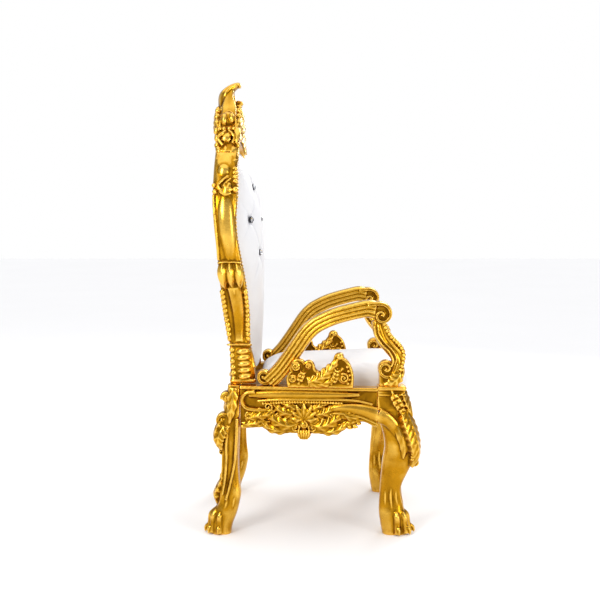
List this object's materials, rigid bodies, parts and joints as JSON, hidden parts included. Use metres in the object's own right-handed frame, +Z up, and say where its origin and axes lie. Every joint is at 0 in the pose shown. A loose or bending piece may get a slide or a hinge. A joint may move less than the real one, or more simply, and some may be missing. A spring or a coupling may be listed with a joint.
{
  "type": "throne",
  "caption": "High-back ceremonial throne in gilded carved wood with acanthus crest, scrolled arms, paw feet and white tufted leather with crystal buttons",
  "frame": {"origin": "on the floor under the middle of the throne's bounding box", "axes": "+Z up, +X the way a sitter faces, -Y the sitter's right hand"},
  "size_m": [0.8448, 0.7808, 1.7823],
  "materials": {
    "gilt_wood": "gold leaf, burnished",
    "white_leather": "satin",
    "crystal": "polished",
    "plain_wood": "sawn"
  },
  "bodies": {
    "root": {"front_leg_right": "gilt_wood", "front_leg_left": "gilt_wood", "rear_leg_right": "gilt_wood", "rear_leg_left": "gilt_wood", "side_rail_right": "gilt_wood", "side_rail_left": "gilt_wood", "arm_right": "gilt_wood", "arm_left": "gilt_wood", "side_cresting_right": "gilt_wood", "side_cresting_left": "gilt_wood", "front_rail": "gilt_wood", "rear_rail": "gilt_wood", "back_frame": "gilt_wood", "crest_rail": "gilt_wood", "seat_deck": "plain_wood", "back_pad": "white_leather", "back_panel": "white_leather", "seat_cushion": "white_leather", "tuft_button_1": "crystal", "tuft_button_2": "crystal", "tuft_button_3": "crystal", "tuft_button_4": "crystal", "tuft_button_5": "crystal", "tuft_button_6": "crystal", "tuft_button_7": "crystal"}
  },
  "joints": []
}
